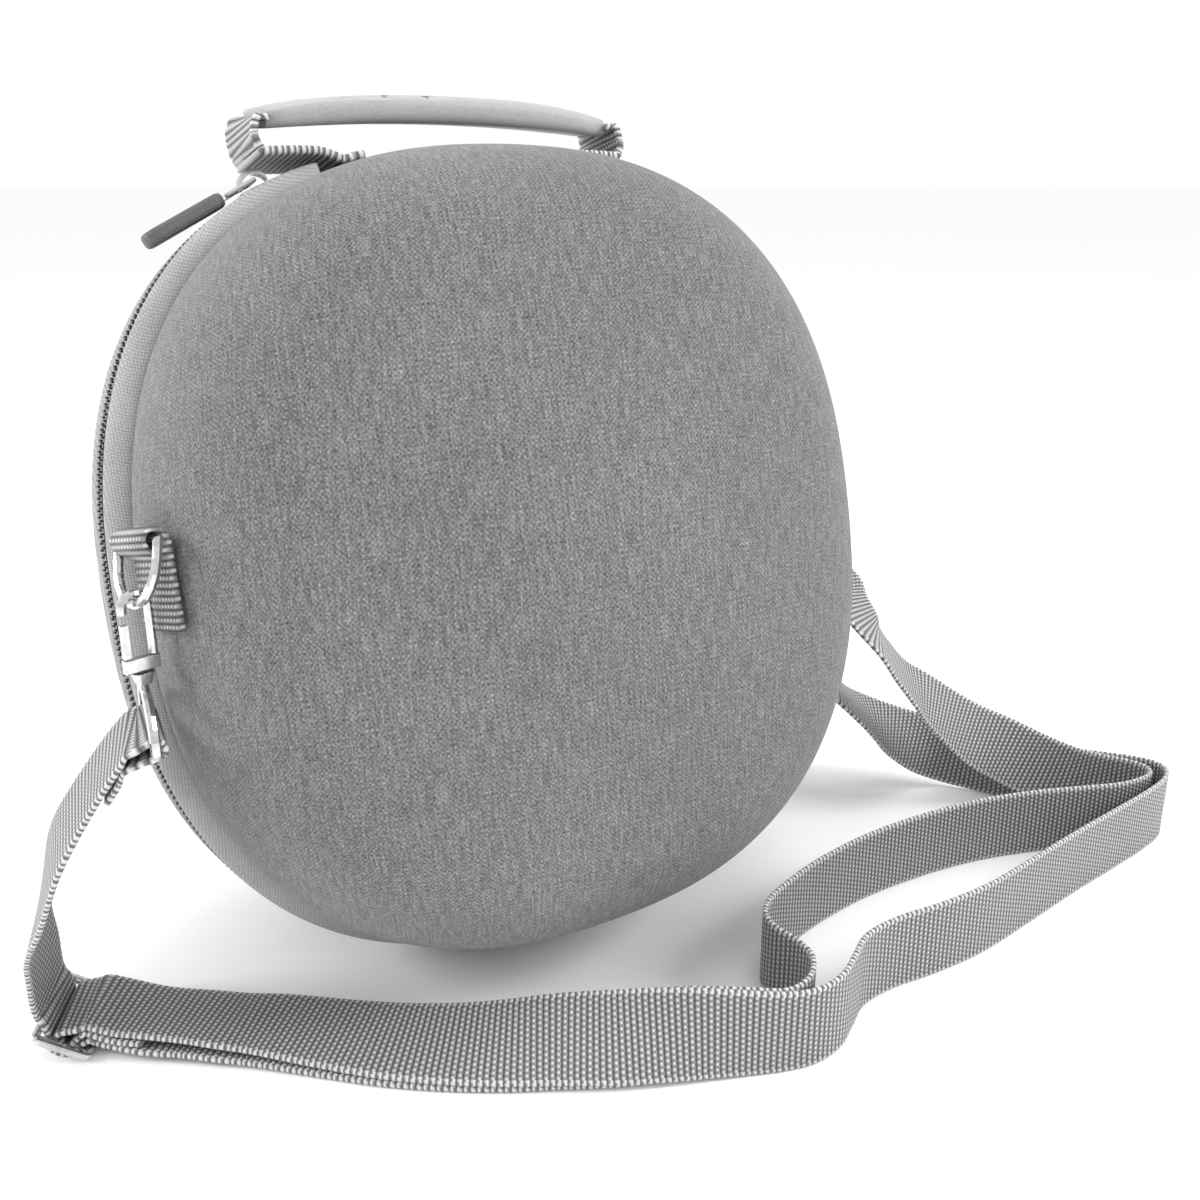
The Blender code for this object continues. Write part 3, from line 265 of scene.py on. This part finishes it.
def fine_cloth(name, dark, light, pitch, depth, sheen=0.1):
    """Fine cloth over padding: even, soft, with a small knit grain."""
    material, tree, shader = new_material(name, 0.92, sheen=sheen)
    place = object_place(tree)
    grain = add(tree, "ShaderNodeTexNoise", [("Vector", place), ("Scale", 1 / pitch), ("Detail", 3.0)]).outputs["Fac"]
    cloud = add(tree, "ShaderNodeTexNoise", [("Vector", place), ("Scale", 40.0), ("Detail", 2.0)]).outputs["Fac"]
    parts = add(tree, "ShaderNodeSeparateXYZ", [("Vector", place)])
    knit = calc(tree, "MULTIPLY", wave(tree, parts.outputs["X"], pitch * 1.6), wave(tree, parts.outputs["Z"], pitch * 1.6))
    tone = calc(tree, "ADD", calc(tree, "MULTIPLY", grain, 0.6), calc(tree, "MULTIPLY", knit, 0.35))
    tone = calc(tree, "ADD", tone, calc(tree, "MULTIPLY", calc(tree, "SUBTRACT", cloud, 0.5), 0.3))
    tree.links.new(ramp(tree, tone, [(0.2, dark), (0.65, light)]), shader.inputs["Base Color"])
    bump(tree, shader, tone, depth, 0.7)
    return material


def ribbed_webbing():
    """Woven polypropylene webbing: pale ribs across it with painted shade darkening the gaps between them, and a
    zigzag selvedge.
    """
    material, tree, shader = new_material("ribbed_webbing", 0.6, sheen=0.05)
    uv = add(tree, "ShaderNodeUVMap", uv_map="cloth").outputs["UV"]
    lengths = add(tree, "ShaderNodeSeparateXYZ", [("Vector", uv)])
    along, across = lengths.outputs["X"], lengths.outputs["Y"]
    rib = wave(tree, along, RIB_PITCH)
    cell = wave(tree, across, CELL_PITCH)
    half = wave(tree, along, 2 * RIB_PITCH)
    shifted = wave(tree, across, CELL_PITCH, math.pi)
    pick = calc(tree, "GREATER_THAN", half, 0.5)
    cell = calc(tree, "ADD", calc(tree, "MULTIPLY", cell, pick),
                calc(tree, "MULTIPLY", shifted, calc(tree, "SUBTRACT", 1.0, pick)))
    fibre = threads(tree, uv, 1 / (0.5 * MM), 1 / (0.25 * MM), 4.2)
    cells = calc(tree, "MULTIPLY_ADD", cell, 0.6)
    cells.node.inputs[2].default_value = 0.4
    height = calc(tree, "MULTIPLY", calc(tree, "POWER", rib, 0.6), cells)
    edge = calc(tree, "GREATER_THAN", calc(tree, "ABSOLUTE", across), STRAP_WIDTH / 2 - 1.3 * MM)
    zigzag = calc(tree, "MULTIPLY", edge, wave(tree, along, RIB_PITCH, 1.2))
    # the weave's height also sets the colour: painted shade in the hollows between ribs and cells; the fibre noise is
    # the yarn's own tone
    tone = calc(tree, "ADD", calc(tree, "MULTIPLY", height, 0.85), calc(tree, "MULTIPLY", fibre, 0.15))
    tone = calc(tree, "MAXIMUM", tone, calc(tree, "MULTIPLY", zigzag, 1.0))
    tree.links.new(ramp(tree, tone, [(0.08, "#3a3a3a"), (0.35, "#707070"), (0.65, "#a6a6a6"), (0.95, "#d6d6d6")]),
                   shader.inputs["Base Color"])
    bump(tree, shader, tone, 0.45 * MM, 0.9)
    return material


def plated_metal():
    """Bright nickel plating on cast zinc: mirror-like with a faint polishing wave."""
    material, tree, shader = new_material("nickel_plated_zinc", 0.16, metallic=1.0, code="#cfcfd1")
    place = add(tree, "ShaderNodeTexCoord").outputs["Object"]
    noise = add(tree, "ShaderNodeTexNoise", [("Vector", place), ("Scale", 300.0), ("Detail", 2.0)]).outputs["Fac"]
    tree.links.new(ramp(tree, noise, [(0.3, "#b9b9bc"), (0.7, "#d9d9da")]), shader.inputs["Base Color"])
    bump(tree, shader, noise, 0.05 * MM, 0.4)
    return material


def moulded(name, dark, light, roughness, grain):
    """Moulded plastic or rubber: satin with a fine spark-eroded grain."""
    material, tree, shader = new_material(name, roughness)
    place = add(tree, "ShaderNodeTexCoord").outputs["Object"]
    noise = add(tree, "ShaderNodeTexNoise", [("Vector", place), ("Scale", 1 / grain), ("Detail", 3.0)]).outputs["Fac"]
    tree.links.new(ramp(tree, noise, [(0.3, dark), (0.7, light)]), shader.inputs["Base Color"])
    bump(tree, shader, noise, 0.08 * MM, 0.5)
    return material


HEATHER = heather_weave()
WELT = fine_cloth("welt_knit", "#7c7c7c", "#b0b0b0", 0.45 * MM, 0.10 * MM)
HINGE = fine_cloth("hinge_cloth", "#303032", "#5a5a5c", 0.7 * MM, 0.15 * MM)
TAPE = fine_cloth("zip_tape", "#0c0c0d", "#2a2a2c", 0.5 * MM, 0.1 * MM)
WEBBING = ribbed_webbing()
METAL = plated_metal()
RUBBER = moulded("pull_rubber", "#4c4c4e", "#646466", 0.55, 0.5 * MM)
GRIP = moulded("grip_elastomer", "#a2a2a2", "#b2b2b2", 0.5, 0.6 * MM)
COIL = moulded("nylon_coil", "#101011", "#262628", 0.35, 0.8 * MM)


def finish_piece(piece, material, slot, *nodes):
    """Gives a piece its material, its body and the nodes that it stands for. The slot argument is not used."""
    piece.data.materials.clear()
    piece.data.materials.append(material)
    if nodes:
        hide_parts(*nodes)
    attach(piece, "case")
    return piece


def apply_modifiers(piece):
    bpy.ops.object.select_all(action="DESELECT")
    piece.select_set(True)
    bpy.context.view_layer.objects.active = piece
    for modifier in list(piece.modifiers):
        bpy.ops.object.modifier_apply(modifier=modifier.name)


def soft_copy(node, name, levels=2):
    """A merged copy of a solid, subdivided so that its cloth curves smoothly."""
    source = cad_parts[node]
    mesh = bpy.data.meshes.new(name)
    bm = bmesh.new()
    bm.from_mesh(source.data)
    bmesh.ops.transform(bm, matrix=source.matrix_world, verts=bm.verts)
    bmesh.ops.remove_doubles(bm, verts=bm.verts, dist=0.00002)
    bmesh.ops.join_triangles(bm, faces=bm.faces, angle_face_threshold=0.9, angle_shape_threshold=1.2)
    bm.to_mesh(mesh)
    bm.free()
    piece = bpy.data.objects.new(name, mesh)
    bpy.context.scene.collection.objects.link(piece)
    if levels:
        rounding = piece.modifiers.new("rounding", "SUBSURF")
        rounding.levels = rounding.render_levels = levels
        apply_modifiers(piece)
    for polygon in piece.data.polygons:
        polygon.use_smooth = True
    return piece


# Shells: the weave runs over the dome as lengths of cloth from the middle of its face

def lay_cloth(piece):
    """UV map in metres of cloth: lengths from the face's middle over the dome."""
    deepest = max(abs((TO_CASE @ v.co).y) for v in piece.data.vertices)
    places = []
    for vertex in piece.data.vertices:
        p = TO_CASE @ vertex.co
        out = math.hypot(p.x, p.z) or 1e-6
        length = out + (deepest - abs(p.y)) * min(1.0, out / 0.09)
        places.append((p.x / out * length, p.z / out * length))
    layer = piece.data.uv_layers.new(name="cloth")
    for loop in piece.data.loops:
        layer.data[loop.index].uv = places[loop.vertex_index]


for node, name in (("front_shell", "front_dome"), ("rear_shell", "rear_dome")):
    dome = soft_copy(node, name)
    lay_cloth(dome)
    finish_piece(dome, HEATHER, "heather", node)

for node, name in (("front_welt", "front_piping"), ("rear_welt", "rear_piping")):
    finish_piece(soft_copy(node, name), WELT, "welt", node)

finish_piece(soft_copy("hinge_panel", "hinge_cover", 1), HINGE, "dark_fabric", "hinge_panel")


# Zip: tape and two rows of coil teeth along the outline

def outline_point(angle, proud):
    """Point of the case's outline at a parameter angle, moved outwards."""
    half_width, half_height, power = 113 * MM, 119 * MM, 2 / 2.4
    c, s = math.cos(angle), math.sin(angle)
    x = half_width * math.copysign(abs(c) ** power, c)
    z = half_height * math.copysign(abs(s) ** power, s)
    return Vector((x, 0, z)), Vector((x / half_width ** 2, 0, z / half_height ** 2)).normalized() * proud


def zip_teeth():
    """Coil turns, one small rounded bead for each, in two rows that mesh along the zip."""
    count = 2000
    ring = [sum(outline_point(2 * math.pi * i / count, TEETH_PROUD), Vector()) for i in range(count)]
    length = 0.0
    places = []
    for i, here in enumerate(ring):
        after = ring[(i + 1) % count]
        if not (abs(here.x) < 42.5 * MM and here.z > 0):
            if not places or length >= TOOTH_PITCH:
                places.append((here, (after - here).normalized()))
                length = 0.0
            length += (after - here).length
    bm = bmesh.new()
    bmesh.ops.create_uvsphere(bm, u_segments=8, v_segments=5, radius=1.0)
    bead = [v.co.copy() for v in bm.verts]
    bm.verts.index_update()
    bead_faces = [[v.index for v in face.verts] for face in bm.faces]
    bm.free()
    points, faces = [], []
    for here, along in places:
        outwards = along.cross(Vector((0, 1, 0))).normalized()
        outwards = outwards if outwards.dot(here) > 0 else -outwards
        for side in (-1, 1):
            spot = here + along * (side * TOOTH_PITCH / 4) + Vector((0, side * 1.15 * MM, 0))
            turn = Matrix((along, Vector((0, 1, 0)), outwards)).transposed().to_4x4()
            shape = Matrix.Translation(spot) @ turn @ Matrix.Diagonal((0.42 * MM, 1.35 * MM, 0.55 * MM, 1))
            first = len(points)
            points += [CASE @ shape @ p for p in bead]
            faces += [[first + i for i in face] for face in bead_faces]
    mesh = bpy.data.meshes.new("coil_teeth")
    mesh.from_pydata(points, [], faces)
    for polygon in mesh.polygons:
        polygon.use_smooth = True
    piece = bpy.data.objects.new("coil_teeth", mesh)
    bpy.context.scene.collection.objects.link(piece)
    return piece


TEETH_PROUD = 3.9 * MM         # the coil shows over the piping's edge from the side
tape = soft_copy("zip_chain", "zip_tape", 1)
for vertex in tape.data.vertices:
    out = TO_CASE @ vertex.co
    out.y = 0
    vertex.co += CASE.to_3x3() @ out.normalized() * 1.6 * MM
finish_piece(tape, TAPE, "zip_black", "zip_chain")
finish_piece(zip_teeth(), COIL, "zip_black")


# Webbing

def webbing(name, route, width, thickness, steps):
    """Flat woven band along a route, with rounded edges and a UV map in metres."""
    rows = [point_at(row) for row in route]
    middles = smooth_path([row[0] for row in rows], steps)
    sides = smooth_path([row[1] for row in rows], steps)
    shares = (-1, -0.97, -0.8, -0.4, 0, 0.4, 0.8, 0.97, 1)
    bm = bmesh.new()
    layer = bm.loops.layers.uv.new("cloth")
    loops, lengths, run = [], [], 0.0
    for i, middle in enumerate(middles):
        along = (middles[min(i + 1, len(middles) - 1)] - middles[max(i - 1, 0)]).normalized()
        across = (sides[i] - along * sides[i].dot(along)).normalized()
        out = along.cross(across)
        run += (middle - middles[i - 1]).length if i else 0.0
        lengths.append(run)
        ring = []
        for face in (1, -1):
            for share in shares[::face]:
                depth = thickness / 2 * (0.45 if abs(share) == 1 else 1)
                ring.append((bm.verts.new(middle + across * share * width / 2 + out * face * depth), share))
        loops.append(ring)
    for i, (near, far) in enumerate(zip(loops, loops[1:])):
        for j in range(len(near)):
            k = (j + 1) % len(near)
            face = bm.faces.new((near[j][0], near[k][0], far[k][0], far[j][0]))
            spots = ((lengths[i], near[j][1]), (lengths[i], near[k][1]), (lengths[i + 1], far[k][1]),
                     (lengths[i + 1], far[j][1]))
            for loop, (u, share) in zip(face.loops, spots):
                loop[layer].uv = (u, share * STRAP_WIDTH / 2)
    for ring in (loops[0], loops[-1]):
        bm.faces.new([vert for vert, share in ring])
    bmesh.ops.recalc_face_normals(bm, faces=bm.faces)
    mesh = bpy.data.meshes.new(name)
    bm.to_mesh(mesh)
    bm.free()
    piece = bpy.data.objects.new(name, mesh)
    bpy.context.scene.collection.objects.link(piece)
    for polygon in mesh.polygons:
        polygon.use_smooth = True
    return piece, run


strap, strap_length = webbing("shoulder_strap", STRAP_ROUTE, STRAP_WIDTH, STRAP_THICKNESS, 5)
STRAP_NODES = [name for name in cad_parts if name.startswith("strap_")
               and not name.startswith(("strap_ring_left", "strap_ring_right", "strap_adjuster"))]
finish_piece(strap, WEBBING, "webbing", *STRAP_NODES)

for side, route in (("left", HANDLE_ROUTE_LEFT), ("right", HANDLE_ROUTE_RIGHT)):
    loop, loop_length = webbing("handle_loop_" + side, route, 25 * MM, HANDLE_WEB, 2)
    finish_piece(loop, WEBBING, "webbing", "handle_webbing_" + side)


def tab_cloth(piece):
    """UV map of a side tab in metres: ribs lie level, one above the other."""
    layer = piece.data.uv_layers.new(name="cloth")
    middle = sum((TO_CASE @ v.co).y for v in piece.data.vertices) / len(piece.data.vertices)
    for loop in piece.data.loops:
        p = TO_CASE @ piece.data.vertices[loop.vertex_index].co
        layer.data[loop.index].uv = (p.z, p.y - middle)


for side in ("left", "right"):
    tab = soft_copy("tab_" + side, "side_tab_" + side, 0)
    tab_cloth(tab)
    finish_piece(tab, WEBBING, "webbing", "tab_" + side)


# Grip with its wedge notches, cut along the front upper edge

def notched_grip():
    grip = soft_copy("handle_grip", "moulded_grip", 0)
    for face in grip.data.polygons:
        face.use_smooth = False
    highest = max((TO_CASE @ v.co).z for v in grip.data.vertices)
    cutters = []
    for x, size in NOTCHES:
        bpy.ops.object.select_all(action="DESELECT")
        bpy.ops.mesh.primitive_cube_add(size=1.0)
        cutter = bpy.context.object
        turn = Matrix.Rotation(math.radians(32), 4, "Y")
        place = Matrix.Translation((x * MM, -10.0 * MM, highest - 3.4 * MM))
        cutter.data.transform(CASE @ place @ turn @ Matrix.Diagonal((7 * MM, 9 * MM, size * MM, 1)))
        cutters.append(cutter)
    for cutter in cutters:
        cut = grip.modifiers.new("notch", "BOOLEAN")
        cut.operation, cut.solver, cut.object = "DIFFERENCE", "EXACT", cutter
    apply_modifiers(grip)
    for cutter in cutters:
        bpy.data.objects.remove(cutter)
    bpy.ops.object.select_all(action="DESELECT")
    grip.select_set(True)
    bpy.context.view_layer.objects.active = grip
    bpy.ops.object.shade_smooth_by_angle(angle=math.radians(35))
    return grip


NOTCHES = [(-46, 2.6), (-34, 2.6), (-21, 2.2), (-8, 1.6)]      # place along the grip and height, in mm
finish_piece(notched_grip(), GRIP, "grip", "handle_grip")


# Metal and rubber keep their solids and take their finish

METAL_NODES = ["zip_slider", "slider_crown", "pull_link", "strap_adjuster"]
for side in ("left", "right"):
    METAL_NODES += [part + side for part in ("d_ring_", "hook_bar_", "hook_body_", "gate_", "swivel_", "strap_ring_")]
for name in METAL_NODES + ["pull_tab"]:
    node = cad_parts[name]
    node.data.materials.clear()
    node.data.materials.append(RUBBER if name == "pull_tab" else METAL)


# Floor, light and camera

bpy.ops.object.select_all(action="DESELECT")
bpy.ops.mesh.primitive_plane_add(size=400, location=(0, 0, 0))
floor = bpy.context.object
floor.name = "floor"
paper, tree, shader = new_material("white_paper", 0.95, code="#fbfbfb")
floor.data.materials.append(paper)

world = bpy.data.worlds.new("studio")
bpy.context.scene.world = world
world.use_nodes = True
world.node_tree.nodes["Background"].inputs["Color"].default_value = linear("#ffffff")
world.node_tree.nodes["Background"].inputs["Strength"].default_value = 1.0


def softbox(name, place, target, size, power):
    """Square area light at a place, facing a target."""
    light = bpy.data.lights.new(name, "AREA")
    light.size, light.energy = size, power
    lamp = bpy.data.objects.new(name, light)
    lamp.location = place
    lamp.rotation_euler = (Vector(target) - Vector(place)).to_track_quat("-Z", "Y").to_euler()
    bpy.context.scene.collection.objects.link(lamp)


softbox("key", (1.1, -0.9, 1.0), CENTRE, 0.6, 14)
softbox("rim", (-1.3, 0.5, 0.7), CENTRE, 0.5, 12)
softbox("top", (0.2, 0.2, 1.7), CENTRE, 1.0, 9)


def photograph_camera():
    """Camera where the photograph was taken from."""
    right = Vector((math.cos(CAMERA_TURN), -math.sin(CAMERA_TURN), 0))
    forward = Vector((math.sin(CAMERA_TURN) * math.cos(CAMERA_RISE), math.cos(CAMERA_TURN) * math.cos(CAMERA_RISE),
                      -math.sin(CAMERA_RISE)))
    up = right.cross(forward)
    shift_x = (CASE_IN_PICTURE[0] - 600) * CAMERA_DISTANCE / CAMERA_FOCUS
    shift_y = (600 - CASE_IN_PICTURE[1]) * CAMERA_DISTANCE / CAMERA_FOCUS
    place = CENTRE - forward * CAMERA_DISTANCE - right * shift_x - up * shift_y
    data = bpy.data.cameras.new("camera")
    data.sensor_width = 36.0
    data.lens = CAMERA_FOCUS / 1200 * 36.0
    camera = bpy.data.objects.new("camera", data)
    camera.matrix_world = Matrix.Translation(place) @ Matrix((right, up, -forward)).transposed().to_4x4()
    bpy.context.scene.collection.objects.link(camera)
    bpy.context.scene.camera = camera


photograph_camera()
bpy.context.scene.view_settings.view_transform = "Standard"
